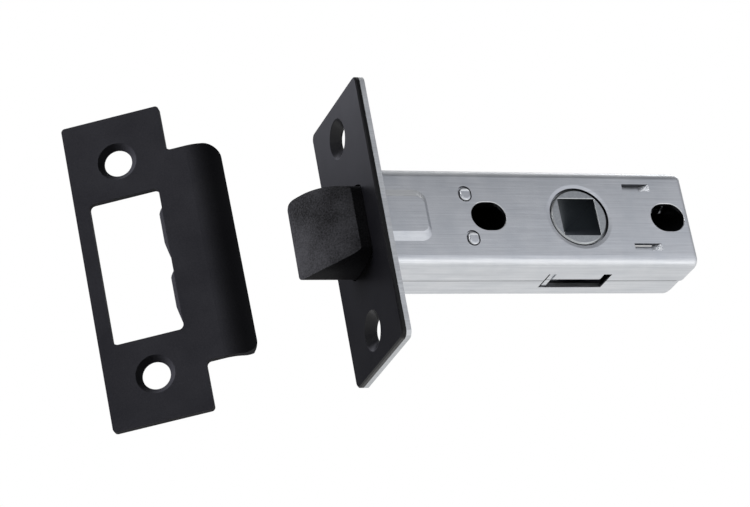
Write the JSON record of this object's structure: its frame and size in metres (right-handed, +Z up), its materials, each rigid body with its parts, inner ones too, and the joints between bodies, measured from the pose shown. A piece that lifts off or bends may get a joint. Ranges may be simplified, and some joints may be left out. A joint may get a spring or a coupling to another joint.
{
  "type": "tubular door latch with strike plate",
  "caption": "Tubular mortice door latch with a sprung bevelled bolt, a pressed zinc-plated case, a follower for a square spindle, a black forend and a separate black lipped strike plate",
  "frame": {"origin": "middle of the forend's outer face, on the line of the bolt, where the forend lies flush with the door's edge", "axes": "+X runs into the door along the bolt, +Y across the door's thickness away from the wide face seen in the picture, +Z up"},
  "size_m": [0.1297, 0.043, 0.0749],
  "materials": {
    "black_coating": "satin black powder coating on steel and on the cast bolt",
    "zinc_plate": "bright zinc plating on rolled sheet steel, with faint lines along the sheet",
    "cast_zinc": "smooth die-cast zinc alloy, lightly polished by use",
    "spring_steel": "oiled drawn steel wire and pins"
  },
  "bodies": {
    "case": {"outer_forend": "black_coating", "inner_forend": "zinc_plate", "front_case_shell": "zinc_plate", "rear_case_shell": "zinc_plate", "spring_plate": "zinc_plate", "upper_spring_peg": "zinc_plate", "lower_spring_peg": "zinc_plate", "bolt_spring": "spring_steel", "upper_return_spring": "spring_steel", "lower_return_spring": "spring_steel", "strike_plate": "black_coating"},
    "bolt": {"latch_bolt": "black_coating", "upper_tail_arm": "zinc_plate", "lower_tail_arm": "zinc_plate", "upper_tail_rivet": "spring_steel", "lower_tail_rivet": "spring_steel"},
    "hub": {"follower": "cast_zinc"}
  },
  "joints": [
    {"name": "bolt_slide", "type": "slide", "parent": "case", "child": "bolt", "axis": [1, 0, 0], "range_m": [0, 0.0108], "stiffness_N_per_m": 600, "springref_m": -0.012, "deforming": ["bolt_spring", "upper_return_spring", "lower_return_spring"]},
    {"name": "follower_turn", "type": "hinge", "parent": "case", "child": "hub", "pos_m": [0.044, 0, 0], "axis": [0, 1, 0], "range_deg": [0, 72.8]}
  ],
  "couplings": [
    {"joint": "follower_turn", "follows": "bolt_slide", "rad_per_m": 117.64}
  ]
}
